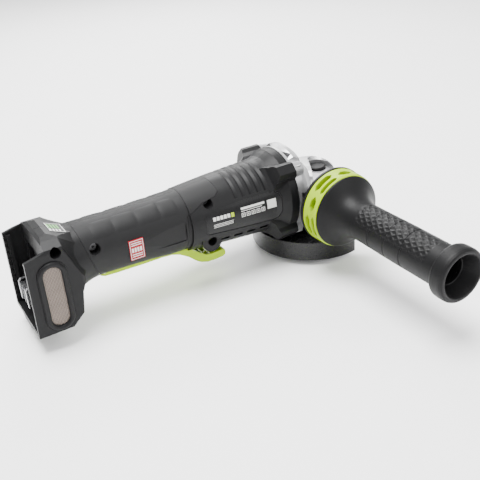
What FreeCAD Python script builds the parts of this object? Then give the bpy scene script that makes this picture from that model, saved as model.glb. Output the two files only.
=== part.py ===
import FreeCAD, Part
import math
import os

import Sketcher

V = FreeCAD.Vector
doc = FreeCAD.newDocument("angle_grinder")
sheet = doc.addObject("Spreadsheet::Sheet", "dims")


# ---------------------------------------------------------------- driving dimensions, in the sheet

class Dim:
    """A number together with the sheet expression that gives it."""

    def __init__(self, value, text):
        self.value = value
        self.text = text

    def __add__(self, other):
        other = as_dim(other)
        return Dim(self.value + other.value, f"({self.text} + {other.text})")

    def __radd__(self, other):
        return as_dim(other) + self

    def __sub__(self, other):
        other = as_dim(other)
        return Dim(self.value - other.value, f"({self.text} - {other.text})")

    def __rsub__(self, other):
        return as_dim(other) - self

    def __mul__(self, other):
        other = as_dim(other)
        return Dim(self.value * other.value, f"({self.text} * {other.text})")

    def __rmul__(self, other):
        return as_dim(other) * self

    def __truediv__(self, other):
        other = as_dim(other)
        return Dim(self.value / other.value, f"({self.text} / {other.text})")

    def __neg__(self):
        return Dim(-self.value, f"(0 - {self.text})")


def as_dim(value):
    if isinstance(value, Dim):
        return value
    text = f"{float(value):.6f}"
    return Dim(float(text), text if value >= 0 else f"({text})")


def dim(name, value):
    """Add one driving dimension to the sheet and return it."""
    dim.row += 1
    sheet.set(f"A{dim.row}", name)
    sheet.set(f"B{dim.row}", str(value))
    sheet.setAlias(f"B{dim.row}", name)
    return Dim(float(value), f"dims.{name}")


dim.row = 0

# Spindle side: the origin is on the spindle axis, on the disc seat of the inner flange.
motor_z = dim("motor_axis_height", 52)
guard_r = dim("guard_radius", 62)
guard_top = dim("guard_top_height", 8.7)
guard_depth = dim("guard_skirt_depth", 19.5)
guard_sheet = dim("guard_sheet", 1.6)
guard_half_angle = dim("guard_half_angle", 101)
neck_r = dim("neck_radius", 20.5)
neck_bottom = dim("neck_bottom", 8.6)
cover_bottom = dim("cover_plate_bottom", 21)
cover_top = dim("cover_plate_top", 26)
head_r = dim("head_radius", 28.5)
head_top = dim("head_top", 71)
thread_r = dim("spindle_thread_radius", 7)
disc_bore_r = dim("disc_bore_radius", 11.1)
flange_r = dim("flange_radius", 20)
button_x = dim("button_offset", 10)
button_r = dim("button_radius", 8.6)
button_top = dim("button_top", 63.5)

# Bevel gears: both cones meet where the motor axis crosses the spindle axis.
gear_module = dim("gear_module", 1.3)
crown_teeth = dim("crown_teeth", 34)
pinion_teeth = dim("pinion_teeth", 10)
face_width = dim("tooth_face_width", 7)

# Motor barrel and its front flange.
mouth_x = dim("housing_mouth", -41.6)
mouth_r = dim("housing_mouth_radius", 42.8)
boss_offset = dim("corner_boss_offset", 29.5)
boss_r = dim("corner_boss_radius", 8.2)
wall = dim("housing_wall", 2.8)
sleeve_wall = dim("sleeve_wall", 2)

# Grip and foot.
grip_front = dim("grip_front", -150)
foot_half = dim("foot_half_width", 34.8)
foot_rear = dim("foot_rear", -307.5)
cavity_x = dim("battery_cavity_face", -288.5)

# Side handle.
stud_x = dim("handle_axis_offset", -13.3)
stud_z = dim("handle_axis_height", 48)
stud_r = dim("handle_thread_radius", 4)
rim_y = dim("handle_rim_face", -56.5)
bell_y = dim("handle_bell_face", -78)
bell_r = dim("handle_bell_radius", 35.2)
grip_r = dim("handle_grip_radius", 18.6)
knob_y = dim("handle_end", -226)
knob_r = dim("handle_knob_radius", 24.3)

gap = dim("moving_gap", 0.3)
doc.recompute()


# ---------------------------------------------------------------- helpers

AXES = {
    "Z": FreeCAD.Rotation(),
    "-Z": FreeCAD.Rotation(V(1, 0, 0), 180),
    "X": FreeCAD.Rotation(V(0, 1, 0), 90),
    "-X": FreeCAD.Rotation(V(0, 1, 0), -90),
    "Y": FreeCAD.Rotation(V(1, 0, 0), -90),
    "-Y": FreeCAD.Rotation(V(1, 0, 0), 90),
}

PLANES = {
    "XY": FreeCAD.Rotation(),
    "XZ": FreeCAD.Rotation(V(1, 0, 0), 90),
    "YZ": FreeCAD.Rotation(V(0, 1, 0), V(0, 0, 1), V(1, 0, 0), "ZXY"),
}


def place(thing, base, rotation=FreeCAD.Rotation()):
    """Turn a piece, then tie its base point to the sheet."""
    thing.Placement = FreeCAD.Placement(V(*[as_dim(c).value for c in base]), rotation)
    for letter, value in zip("xyz", base):
        thing.setExpression(f"Placement.Base.{letter}", as_dim(value).text)
    return thing


def bind(thing, **sizes):
    for name, value in sizes.items():
        thing.setExpression(name, as_dim(value).text)
    return thing


def cylinder(radius, height, base, axis="Z", angle=360):
    piece = doc.addObject("Part::Cylinder", "cylinder")
    bind(piece, Radius=radius, Height=height, Angle=angle)
    return place(piece, base, AXES[axis])


def cone(radius_1, radius_2, height, base, axis="Z"):
    piece = doc.addObject("Part::Cone", "cone")
    bind(piece, Radius1=radius_1, Radius2=radius_2, Height=height)
    return place(piece, base, AXES[axis])


def box(low, high):
    """A block between two opposite corners."""
    piece = doc.addObject("Part::Box", "block")
    low = [as_dim(c) for c in low]
    high = [as_dim(c) for c in high]
    bind(piece, Length=high[0] - low[0], Width=high[1] - low[1], Height=high[2] - low[2])
    return place(piece, low)


def fuse(*pieces):
    if len(pieces) == 1:
        return pieces[0]
    joined = doc.addObject("Part::MultiFuse", "fusion")
    joined.Shapes = list(pieces)
    return joined


def cut(base, *tools):
    piece = doc.addObject("Part::Cut", "cut")
    piece.Base = base
    piece.Tool = fuse(*tools)
    return piece


def common(*pieces):
    piece = doc.addObject("Part::MultiCommon", "common")
    piece.Shapes = list(pieces)
    return piece


def mirrored(source, normal):
    """The same piece on the other side of a plane through the origin."""
    piece = doc.addObject("Part::Mirroring", "mirror")
    piece.Source = source
    piece.Normal = normal
    return piece


def group(*pieces):
    """Separate solids kept side by side in one node."""
    piece = doc.addObject("Part::Compound", "group")
    piece.Links = list(pieces)
    return piece


def origin_plane(body, role):
    return next(f for f in body.Origin.OriginFeatures if f.Role == role)


def outline_sketch(body, role, points):
    """A closed polygon on one of the body's origin planes, each corner tied to the sheet."""
    sketch = body.newObject("Sketcher::SketchObject", "outline")
    sketch.AttachmentSupport = (origin_plane(body, role), [""])
    sketch.MapMode = "FlatFace"
    corners = [(as_dim(u), as_dim(v)) for u, v in points]
    count = len(corners)
    for i in range(count):
        u1, v1 = corners[i]
        u2, v2 = corners[(i + 1) % count]
        line = Part.LineSegment(V(u1.value, v1.value, 0), V(u2.value, v2.value, 0))
        sketch.addGeometry(line, False)
    for i in range(count):
        sketch.addConstraint(Sketcher.Constraint("Coincident", i, 2, (i + 1) % count, 1))
    for i, (u, v) in enumerate(corners):
        for kind, size in (("DistanceX", u), ("DistanceY", v)):
            index = sketch.addConstraint(Sketcher.Constraint(kind, -1, 1, i, 1, size.value))
            sketch.setExpression(f"Constraints[{index}]", size.text)
    return sketch


def turned(points, base, axis="Z"):
    """A turned piece: points are (radius, distance along the axis)."""
    body = doc.addObject("PartDesign::Body", "turned")
    sketch = outline_sketch(body, "XZ_Plane", points)
    turn = body.newObject("PartDesign::Revolution", "turning")
    turn.Profile = sketch
    turn.ReferenceAxis = (sketch, ["V_Axis"])
    turn.Angle = 360
    return place(body, base, AXES[axis])


def padded(points, depth, base, plane="XY", fillet=None):
    """A pad of an outline. XZ outlines grow along -Y, YZ outlines along +X, XY outlines along +Z."""
    body = doc.addObject("PartDesign::Body", "padded")
    sketch = outline_sketch(body, "XY_Plane", points)
    pad = body.newObject("PartDesign::Pad", "pad")
    pad.Profile = sketch
    bind(pad, Length=depth)
    if fillet is not None:
        doc.recompute()
        corners = []
        for i, edge in enumerate(pad.Shape.Edges):
            start, end = edge.Vertexes[0].Point, edge.Vertexes[-1].Point
            if abs(start.x - end.x) + abs(start.y - end.y) < 1e-6:
                corners.append(f"Edge{i + 1}")
        rounding = body.newObject("PartDesign::Fillet", "rounding")
        rounding.Base = (pad, corners)
        bind(rounding, Radius=fillet)
    return place(body, base, PLANES[plane])


def both_sides(outline):
    """Close a half outline into a full one by repeating it on the other side of the middle plane."""
    return outline + [(-y, z) for y, z in reversed(outline)]


def rectangle(low, high):
    return [(low[0], low[1]), (high[0], low[1]), (high[0], high[1]), (low[0], high[1])]


def slot_block(x, low_z, high_z, half, depth, y):
    """An upright slot-shaped block, round at both ends, growing along -Y from y."""
    return fuse(
        cylinder(half, depth, (x, y, low_z), "-Y"),
        cylinder(half, depth, (x, y, high_z), "-Y"),
        box((x - half, y - depth, low_z), (x + half, y, high_z)),
    )


def ring_of(maker, count, start=0.0, axis=V(0, 0, 1), centre=(0, 0, 0)):
    """The same piece made again at even steps round an axis."""
    pieces = []
    for i in range(count):
        piece = maker()
        turn = FreeCAD.Rotation(axis, start + 360.0 * i / count)
        middle = V(*[as_dim(c).value for c in centre])
        holder = doc.addObject("Part::Compound", "turned_copy")
        holder.Links = [piece]
        holder.Placement = FreeCAD.Placement(middle, turn) * FreeCAD.Placement(-middle, FreeCAD.Rotation())
        pieces.append(holder)
    return pieces


def shaped(name, shape):
    """A piece whose solid is worked out by Part's own functions."""
    piece = doc.addObject("Part::Feature", name)
    piece.Shape = shape
    return piece


def loft(sections, ruled=False):
    """A body of elliptical sections along X: (x, half width, half height, centre height)."""
    rings = []
    for x, half_y, half_z, centre_z in sections:
        ring = doc.addObject("Part::Ellipse", "section")
        tall = as_dim(half_z).value >= as_dim(half_y).value
        bind(ring, MajorRadius=half_z if tall else half_y, MinorRadius=half_y if tall else half_z)
        upright = FreeCAD.Rotation(V(0, 0, 1), V(0, -1, 0), V(1, 0, 0), "ZXY")
        flat = FreeCAD.Rotation(V(0, 1, 0), V(0, 0, 1), V(1, 0, 0), "ZXY")
        place(ring, (x, 0, centre_z), upright if tall else flat)
        rings.append(ring)
    piece = doc.addObject("Part::Loft", "loft")
    piece.Sections = rings
    piece.Solid = True
    piece.Ruled = ruled
    return piece


def spring_solid(radius, wire_r, height, coils, base, axis="Z"):
    """A closed coil spring."""
    helix = Part.makeHelix(height / coils, height, radius)
    section = Part.Wire([Part.makeCircle(wire_r, V(radius, 0, 0), V(0, 1, 0))])
    solid = Part.Wire(helix.Edges).makePipeShell([section], True, True)
    solid.Placement = FreeCAD.Placement(V(*[as_dim(c).value for c in base]), AXES[axis])
    return solid


nodes = {}


def node(name, piece):
    piece.Label = name
    nodes[name] = piece
    return piece


# ---------------------------------------------------------------- gear housing and its cover

FOUR_CORNERS = ((1, 1), (-1, 1), (-1, -1), (1, -1))
LOBE_OFFSET = 20.4
LOBE_R = 5.2


BOSS_REACH = {1: 10, -1: 8}
HEAD_SEAT = {1: 6, -1: 4}
GEAR_SCREW_END = -59.6


def hood_ridge():
    """Raised rim over the top of the motor flange, between the two upper bosses."""
    rim = turned([
        (30, 0.6), (39, 0.6), (43, 1.6), (45.6, 7), (45.6, 10.2), (41.5, 15.4), (37, 17.6), (30, 17.6),
    ], (mouth_x, 0, motor_z), "X")
    wedge = padded([(0, motor_z), (-30, motor_z + 52), (30, motor_z + 52)], 20, (mouth_x, 0, 0), "YZ")
    return common(rim, wedge)


def gear_housing():
    """Cast head: round motor flange with four corner bosses, a domed gear case and two handle bosses."""
    flange = turned([
        (0, 0), (mouth_r + 0.6, 0), (mouth_r + 0.6, 7), (mouth_r - 1.2, 12), (mouth_r - 4, 13.5),
        (32, 21.5), (27.5, 25), (22, 30), (0, 30),
    ], (mouth_x, 0, motor_z), "X")
    bosses = []
    for side, level in FOUR_CORNERS:
        centre = (side * boss_offset, motor_z + level * boss_offset)
        bosses.append(cone(boss_r, boss_r - 1.2, BOSS_REACH[level], (mouth_x, *centre), "X"))
        web = rectangle((centre[0] - 6, centre[1] - 6), (centre[0] + 6, centre[1] + 6))
        bosses.append(padded(web, 7, (mouth_x, 0, 0), "YZ"))
    case = turned([
        (0, cover_top), (head_r, cover_top), (head_r, 54), (head_r - 1, 59), (head_r - 4, 64.5),
        (head_r - 9, 68.5), (head_r - 15, 70.6), (head_r - 20, head_top), (0, head_top),
    ], (0, 0, 0))
    lobes = [
        cylinder(LOBE_R, 14, (sx * LOBE_OFFSET, sy * LOBE_OFFSET, cover_top)) for sx, sy in FOUR_CORNERS
    ]
    caps = [
        cone(LOBE_R, 1, 6, (sx * LOBE_OFFSET, sy * LOBE_OFFSET, cover_top + 14)) for sx, sy in FOUR_CORNERS
    ]
    handle_bosses = [
        cylinder(11.5, 66, (stud_x, 33, stud_z), "-Y"),
        cone(15, 11.5, 5, (stud_x, 25, stud_z), "Y"),
        cone(15, 11.5, 5, (stud_x, -25, stud_z), "-Y"),
    ]
    body = fuse(flange, hood_ridge(), case, *bosses, *lobes, *caps, *handle_bosses)
    below_flange = box((mouth_x - 1, -60, -10), (60, 60, 11))
    below_case = box((mouth_x + 7.4, -60, -10), (60, 60, cover_top))
    gear_room = cylinder(24.6, 49.3 - cover_top, (0, 0, cover_top))
    pinion_room = cylinder(9.8, 20, (-30, 0, motor_z), "X")
    bearing_seat = cylinder(13, 8.2, (mouth_x, 0, motor_z), "X")
    shaft_room = cylinder(7, 12, (mouth_x, 0, motor_z), "X")
    bush_seat = cylinder(6, 6.2, (0, 0, 49.2))
    pin_guide = cylinder(2.6, 8, (button_x, 0, 49))
    well = cylinder(button_r + 1, 20, (button_x, 0, 56))
    well_chamfer = cone(button_r + 1, button_r + 5, 4, (button_x, 0, 66))
    thumb_scoop = padded([(19.6, 0), (19.6, -35), (-17, -35), (-1, 0)], 30, (0, 0, 60.4), "XY")
    threads = [
        cylinder(stud_r, 11.5, (stud_x, 33, stud_z), "-Y"), cylinder(stud_r, 11.5, (stud_x, -33, stud_z), "Y"),
    ]
    case_threads = [
        cylinder(1.7, 12, (sx * LOBE_OFFSET, sy * LOBE_OFFSET, cover_top)) for sx, sy in FOUR_CORNERS
    ]
    screw_holes = []
    for side, level in FOUR_CORNERS:
        centre = (side * boss_offset, motor_z + level * boss_offset)
        screw_holes.append(cylinder(2.3, 30, (mouth_x - 1, *centre), "X"))
        screw_holes.append(cylinder(4.6, 30, (mouth_x + HEAD_SEAT[level], *centre), "X"))
    plenum = cut(
        cylinder(mouth_r - 4, 7.5, (mouth_x, 0, motor_z), "X"),
        cylinder(27, 7.5, (mouth_x, 0, motor_z), "X"),
        *[cylinder(6.4, 8, (mouth_x, sy * boss_offset, motor_z + sz * boss_offset), "X")
          for sy, sz in FOUR_CORNERS],
        box((mouth_x - 1, -60, 0), (mouth_x + 9, 60, 16)),
    )
    vents = []
    for side in (-1, 1):
        for level in (-6, 6):
            vents.append(box((mouth_x + 3, min(side * 36, side * 48), motor_z + level - 3.5),
                             (mouth_x + 7.5, max(side * 36, side * 48), motor_z + level + 3.5)))
        triangle = [(mouth_x + 2.5, side * 9), (mouth_x + 2.5, side * 20), (mouth_x + 7.3, side * 19)]
        vents.append(padded(triangle, 16, (0, 0, motor_z + 33), "XY"))
    return cut(body, below_flange, below_case, gear_room, pinion_room, bearing_seat, shaft_room, bush_seat,
               pin_guide, well, well_chamfer, thumb_scoop, plenum, *threads, *case_threads, *screw_holes, *vents)


def gear_housing_screws():
    """Four long screws from the corner bosses back into the barrel."""
    screws = []
    for side, level in FOUR_CORNERS:
        front = mouth_x + HEAD_SEAT[level]
        centre = (side * boss_offset, motor_z + level * boss_offset)
        shank = cylinder(2, front - GEAR_SCREW_END, (front, *centre), "-X")
        head = cylinder(3.9, 3, (front, *centre), "X")
        socket = cylinder(1.8, 2, (front + 1.2, *centre), "X")
        screws.append(cut(fuse(shank, head), socket))
    return group(*screws)


def bearing_cover():
    """Plate that closes the gear case from below and carries the round neck for the guard."""
    bore = 16
    rim = turned([
        (9.6, neck_bottom), (neck_r, neck_bottom), (neck_r, cover_bottom), (head_r, cover_bottom),
        (head_r, cover_top), (bore, cover_top), (bore, 10), (9.6, 10),
    ], (0, 0, 0))
    lobes = [
        cylinder(LOBE_R, cover_top - cover_bottom, (sx * LOBE_OFFSET, sy * LOBE_OFFSET, cover_bottom))
        for sx, sy in FOUR_CORNERS
    ]
    bearing_room = cylinder(bore, 20, (0, 0, 10))
    holes = [cylinder(2.2, 8, (sx * LOBE_OFFSET, sy * LOBE_OFFSET, 20)) for sx, sy in FOUR_CORNERS]
    groove = turned([
        (neck_r - 0.8, 14.5), (neck_r + 2, 14.5), (neck_r + 2, 16), (neck_r - 0.8, 16),
    ], (0, 0, 0))
    return cut(fuse(rim, *lobes), bearing_room, groove, *holes)


def bearing_cover_screws():
    screws = []
    for sx, sy in FOUR_CORNERS:
        centre = (sx * LOBE_OFFSET, sy * LOBE_OFFSET)
        shank = cylinder(1.65, 15, (*centre, cover_bottom))
        head = cylinder(3.5, 2.4, (*centre, cover_bottom), "-Z")
        socket = cylinder(1.6, 1.6, (*centre, cover_bottom - 1), "-Z")
        screws.append(cut(fuse(shank, head), socket))
    return group(*screws)


node("gear_housing", gear_housing())
node("gear_housing_screws", gear_housing_screws())
node("bearing_cover", bearing_cover())
node("bearing_cover_screws", bearing_cover_screws())


# ---------------------------------------------------------------- spindle and gears

def ball_bearing(bore, outer, width, base, axis):
    """Outer ring, inner ring and shields, drawn as one closed race with its shield recess."""
    step = as_dim(outer).value - as_dim(bore).value
    inner_land = bore + step * 0.28
    outer_land = outer - step * 0.24
    return turned([
        (bore, 0), (inner_land, 0), (inner_land, 0.5), (outer_land, 0.5), (outer_land, 0), (outer, 0),
        (outer, width), (outer_land, width), (outer_land, width - 0.5), (inner_land, width - 0.5),
        (inner_land, width), (bore, width),
    ], base, axis)


def bevel_teeth(teeth, mate_teeth, half_thickness, tip_half, root_half, tip_height, root_depth):
    """Tapered teeth on a cone about +Z whose apex is the origin, as a list of solids."""
    module = gear_module.value
    pitch_r = module * teeth / 2
    mate_r = module * mate_teeth / 2
    reach = math.hypot(pitch_r, mate_r)
    inner = 1 - face_width.value / reach
    along = V(pitch_r, 0, -mate_r) / reach
    up = V(mate_r, 0, pitch_r) / reach
    across = V(0, 1, 0)
    profile = [
        (-root_half, -root_depth), (-half_thickness, 0), (-tip_half, tip_height),
        (tip_half, tip_height), (half_thickness, 0), (root_half, -root_depth),
    ]
    wires = []
    for scale in (1.0, inner):
        corners = [(along * reach + across * a + up * b) * scale for a, b in profile]
        wires.append(Part.makePolygon(corners + corners[:1]))
    tooth = Part.makeLoft(wires, True, True)
    solids = []
    for i in range(int(teeth)):
        copy = tooth.copy()
        copy.rotate(V(0, 0, 0), V(0, 0, 1), 360.0 * i / teeth)
        solids.append(copy)
    return solids


def crown_gear():
    """Large bevel gear: web with four lock holes, teeth facing up."""
    teeth = crown_teeth.value
    mates = pinion_teeth.value
    module = gear_module.value
    outer_r = module * teeth / 2
    reach = math.hypot(outer_r, module * mates / 2)
    inner = 1 - face_width.value / reach
    solids = bevel_teeth(teeth, mates, 0.80, 0.42, 1.30, 0.95, 1.5)
    drop = module * mates / 2
    root = V(outer_r, 0, -drop) - V(drop, 0, outer_r) / reach * 1.35
    root_in = root * (inner - 0.04)
    profile = [
        V(6.03, 0, -14.2), V(outer_r - 2.5, 0, -14.2), V(outer_r + 0.4, 0, -11.5), V(root.x, 0, root.z),
        V(root_in.x, 0, root_in.z), V(root_in.x - 0.6, 0, -7.6), V(8.6, 0, -7.6), V(8.6, 0, -5.2), V(6.03, 0, -5.2),
    ]
    face = Part.Face(Part.makePolygon(profile + profile[:1]))
    blank = face.revolve(V(0, 0, 0), V(0, 0, 1), 360)
    gear = blank.multiFuse(solids)
    for i in range(4):
        turn = math.radians(90 * i)
        hole = Part.makeCylinder(2.9, 12, V(10 * math.cos(turn), 10 * math.sin(turn), -12), V(0, 0, 1))
        gear = gear.cut(hole)
    piece = shaped("crown_gear", gear)
    return place(piece, (0, 0, motor_z))


def pinion():
    """Small bevel gear on the end of the rotor shaft, with a tooth gap facing the crown gear."""
    teeth = pinion_teeth.value
    mates = crown_teeth.value
    module = gear_module.value
    outer_r = module * teeth / 2
    mate_r = module * mates / 2
    reach = math.hypot(outer_r, mate_r)
    inner = 1 - face_width.value / reach
    solids = bevel_teeth(teeth, mates, 0.66, 0.28, 0.98, 0.95, 1.45)
    root = V(outer_r, 0, -mate_r) - V(mate_r, 0, outer_r) / reach * 1.3
    root_in = root * (inner - 0.04)
    profile = [
        V(2.5, 0, root_in.z + 0.6), V(root_in.x, 0, root_in.z), V(root.x, 0, root.z),
        V(root.x, 0, root.z - 3), V(2.5, 0, root.z - 3),
    ]
    face = Part.Face(Part.makePolygon(profile + profile[:1]))
    gear = face.revolve(V(0, 0, 0), V(0, 0, 1), 360).multiFuse(solids)
    half_pitch = FreeCAD.Rotation(V(0, 0, 1), 180.0 / teeth)
    piece = shaped("pinion", gear)
    return place(piece, (0, 0, motor_z), AXES["X"] * half_pitch)


def spindle():
    """M14 thread with a relief groove at its free end, bearing seat, gear seat and upper journal."""
    shaft = turned([
        (0, -16), (thread_r - 1, -16), (thread_r, -15), (thread_r, -9), (thread_r - 0.8, -9),
        (thread_r - 0.8, -8), (thread_r, -8), (thread_r, 7), (8.6, 7), (8.6, 10), (6, 10),
        (6, 46.9), (5.4, 46.9), (5.4, 48), (6, 48), (6, 48.6), (4, 49), (4, 54.6), (3.4, 55.2), (0, 55.2),
    ], (0, 0, 0))
    centre_mark = cone(1.6, 0.3, 1.3, (0, 0, -16))
    return cut(shaft, centre_mark)


def inner_flange():
    """Flange that carries the disc: flat seat at height 0 and a round pilot below it."""
    flange = turned([
        (thread_r + 0.03, -1.6), (disc_bore_r, -1.6), (disc_bore_r, 0), (flange_r - 4, 0), (flange_r - 4, 0.4),
        (flange_r - 4.5, 0.4), (flange_r - 4.5, 0), (flange_r, 0), (flange_r, 3), (flange_r - 4, 5.6),
        (12, 5.6), (12, 6.8), (thread_r + 0.03, 6.8),
    ], (0, 0, 0))
    return flange


def outer_flange_nut():
    """Round clamping nut run up against the pilot, with four holes for the pin spanner."""
    nut = turned([
        (thread_r + 0.03, -8.2), (10, -8.2), (10, -6.6), (flange_r - 1, -6.6), (flange_r, -5.6), (flange_r, -2.2),
        (flange_r - 4, -2.2), (flange_r - 4, -2), (thread_r + 0.03, -2),
    ], (0, 0, 0))
    holes = ring_of(lambda: cylinder(2.5, 3.6, (15, 0, -7)), 4)
    return cut(nut, *holes)


def retaining_ring():
    """Spring clip in the groove above the crown gear."""
    ring = cut(cylinder(7.2, 1, (0, 0, 46.95)), cylinder(5.45, 1.2, (0, 0, 46.9)))
    return cut(ring, box((-8, -1.6, 46), (-3, 1.6, 49)))


node("spindle", spindle())
node("crown_gear", crown_gear())
node("gear_retaining_ring", retaining_ring())
node("spindle_bearing", ball_bearing(6.03, 16, 10, (0, 0, 10.05), "Z"))
node("upper_bush", turned([(4.04, 49.3), (6, 49.3), (6, 55.3), (4.04, 55.3)], (0, 0, 0)))
node("inner_flange", inner_flange())
node("outer_flange_nut", outer_flange_nut())
node("pinion", pinion())


# ---------------------------------------------------------------- spindle lock

PIN_R = 2.5


def lock_button():
    """Round cap with a lower skirt."""
    cap = turned([
        (0, 60.6), (button_r - 1.6, 60.6), (button_r - 1.6, 60.8), (button_r, 60.8), (button_r, button_top - 0.8),
        (button_r - 0.8, button_top), (button_r - 2.4, button_top), (button_r - 3.2, button_top - 0.4),
        (0, button_top - 0.4),
    ], (button_x, 0, 0))
    hole = cylinder(PIN_R, 1.4, (button_x, 0, 60.5))
    return cut(cap, hole)


node("lock_button", lock_button())
node("lock_pin", turned([
    (0, 50), (PIN_R - 0.6, 50), (PIN_R, 50.6), (PIN_R, 61.9), (0, 61.9),
], (button_x, 0, 0)))
node("lock_spring", shaped("lock_spring", spring_solid(4.2, 0.4, 3.6, 3, (button_x, 0, 56.5))))


# ---------------------------------------------------------------- guard

def guard_shell():
    """Half-round top plate with a skirt, welded round the clamp band."""
    half = guard_half_angle
    start = FreeCAD.Rotation(V(0, 0, 1), 180 - half.value)

    def sector(radius, height, bottom):
        piece = cylinder(radius, height, (0, 0, bottom), "Z", half * 2)
        piece.Placement = FreeCAD.Placement(piece.Placement.Base, start)
        piece.setExpression("Placement.Base.z", as_dim(bottom).text)
        return piece

    plate = fuse(
        sector(guard_r, guard_sheet, guard_top - guard_sheet),
        cylinder(28, guard_sheet, (0, 0, guard_top - guard_sheet)),
    )
    skirt = cut(
        sector(guard_r, guard_depth, guard_top - guard_depth),
        cylinder(guard_r - guard_sheet, guard_depth + 2, (0, 0, guard_top - guard_depth - 1)),
    )
    step = cut(
        sector(46, 1, guard_top),
        cylinder(44.4, 4, (0, 0, guard_top - 1)),
    )
    hole = cylinder(neck_r + gap, 12, (0, 0, guard_top - 6))
    return cut(fuse(plate, skirt, step), hole)


def guard_band():
    """Split clamp band with two ears at the front."""
    bottom = guard_top
    top = 18.6
    band = cut(
        cylinder(neck_r + 3, top - bottom, (0, 0, bottom)),
        cylinder(neck_r + gap, 30, (0, 0, 0)),
    )
    ears = [
        box((neck_r + 1, 1.4, bottom), (33, 5.4, top - 0.8)),
        box((neck_r + 1, -5.4, bottom), (33, -1.4, top - 0.8)),
    ]
    slit = box((neck_r - 2, -1.4, bottom - 1), (34, 1.4, top + 1))
    bolt_hole = cylinder(2.1, 12, (28.5, 6, 13.6), "-Y")
    return cut(fuse(band, *ears), slit, bolt_hole, cylinder(neck_r + gap, 30, (0, 0, 0)))


def guard_clamp_screw():
    """Screw and nut that pull the ears together."""
    shank = cylinder(2, 17.5, (28.5, 9, 13.6), "-Y")
    head = cylinder(3.5, 3.4, (28.5, 8.9, 13.6), "-Y")
    nut = turned([(0, 0), (3.9, 0), (3.9, 3), (0, 3)], (28.5, -5.5, 13.6), "-Y")
    socket = cylinder(1.6, 2, (28.5, 10, 13.6), "-Y")
    return cut(fuse(shank, head, nut), socket)


node("guard_shell", guard_shell())
node("guard_band", guard_band())
node("guard_clamp_screw", guard_clamp_screw())


# ---------------------------------------------------------------- motor

BEARING_FRONT_X = -33.5
STATOR_REAR = -107
STATOR_FRONT = -71
STATOR_R = 25


def rotor_shaft():
    return turned([
        (0, 0), (2.2, 0), (2.5, 0.4), (2.5, 10.5), (5, 10.5), (5, 98.5), (4, 98.5), (4, 114.2), (3.6, 114.6),
        (0, 114.6),
    ], (-15.4, 0, motor_z), "-X")


def rotor_core():
    """Laminated core with four magnets set into flats."""
    core = cut(cylinder(13.4, 36, (STATOR_REAR, 0, motor_z), "X"), cylinder(5, 40, (STATOR_REAR - 1, 0, motor_z), "X"))
    flats = ring_of(lambda: box((STATOR_REAR + 2, -4.5, 12.6), (STATOR_FRONT - 2, 4.5, 15)), 4,
                    axis=V(1, 0, 0))
    moved = group(*flats)
    place(moved, (0, 0, motor_z))
    return cut(core, moved)


def stator_core():
    """Six-tooth lamination stack."""
    length = STATOR_FRONT - STATOR_REAR
    yoke = cut(cylinder(STATOR_R, length, (STATOR_REAR, 0, 0), "X"), cylinder(21, 60, (STATOR_REAR - 5, 0, 0), "X"))
    teeth = ring_of(lambda: box((STATOR_REAR, -2.6, 14.5), (STATOR_FRONT, 2.6, 22)), 6, axis=V(1, 0, 0))
    shoes = ring_of(lambda: box((STATOR_REAR, -5.2, 14.5), (STATOR_FRONT, 5.2, 16.2)), 6, axis=V(1, 0, 0))
    bore = cylinder(14.2, 60, (STATOR_REAR - 5, 0, 0), "X")
    return place(cut(fuse(yoke, *teeth, *shoes), bore), (0, 0, motor_z))


def stator_coils():
    """One flat coil round each stator tooth."""
    def coil():
        outside = box((STATOR_REAR - 4.5, -5, 16.6), (STATOR_FRONT + 4.5, 5, 20.2))
        inside = box((STATOR_REAR - 0.1, -2.7, 16), (STATOR_FRONT + 0.1, 2.7, 21))
        return cut(outside, inside)
    return place(group(*ring_of(coil, 6, axis=V(1, 0, 0))), (0, 0, motor_z))


def fan():
    """Radial fan: hub, back plate and sixteen blades."""
    plate = turned([(5, 0), (9, 0), (9, 1.6), (31, 3), (31, 4.4), (9, 5), (9, 12), (5, 12)], (-46, 0, 0), "-X")
    blades = ring_of(lambda: box((-56.5, -0.7, 14), (-49, 0.7, 30.6)), 16, axis=V(1, 0, 0))
    return place(fuse(plate, *blades), (0, 0, motor_z))


def fan_baffle():
    return turned([(23, 0), (33.4, 0), (33.4, 2), (25, 2), (23, 3)], (-62.2, 0, motor_z), "-X")


def rear_boot():
    """Rubber cup round the rear bearing."""
    return turned([
        (11.03, 0), (13.15, 0), (13.15, 8.2), (5.5, 8.2), (5.5, 7.2), (11.03, 7.2),
    ], (-118.6, 0, motor_z), "-X")


node("rotor_shaft", rotor_shaft())
node("rotor_core", rotor_core())
node("stator_core", stator_core())
node("stator_coils", stator_coils())
node("fan", fan())
node("fan_baffle", fan_baffle())
node("front_bearing", ball_bearing(5.03, 13, 8, (BEARING_FRONT_X, 0, motor_z), "-X"))
node("rear_bearing", ball_bearing(4.03, 11, 7, (-118.7, 0, motor_z), "-X"))
node("rear_bearing_boot", rear_boot())


# ---------------------------------------------------------------- outer form of the body

def barrel(inset):
    """Motor barrel with its flared mouth, drawn smaller all round by an inset."""
    rear = 110
    return turned([
        (0, 0), (mouth_r - inset, 0), (mouth_r - inset, 8.6), (mouth_r - 0.6 - inset, 9.8), (40.6 - inset, 13.5),
        (38.4 - inset, 18), (37 - inset, 23), (36.5 - inset, 28), (35.7 - inset, 46), (34.3 - inset, 70),
        (32.6 - inset, 92), (31.0 - inset, rear), (0, rear),
    ], (mouth_x, 0, motor_z), "-X")


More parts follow.
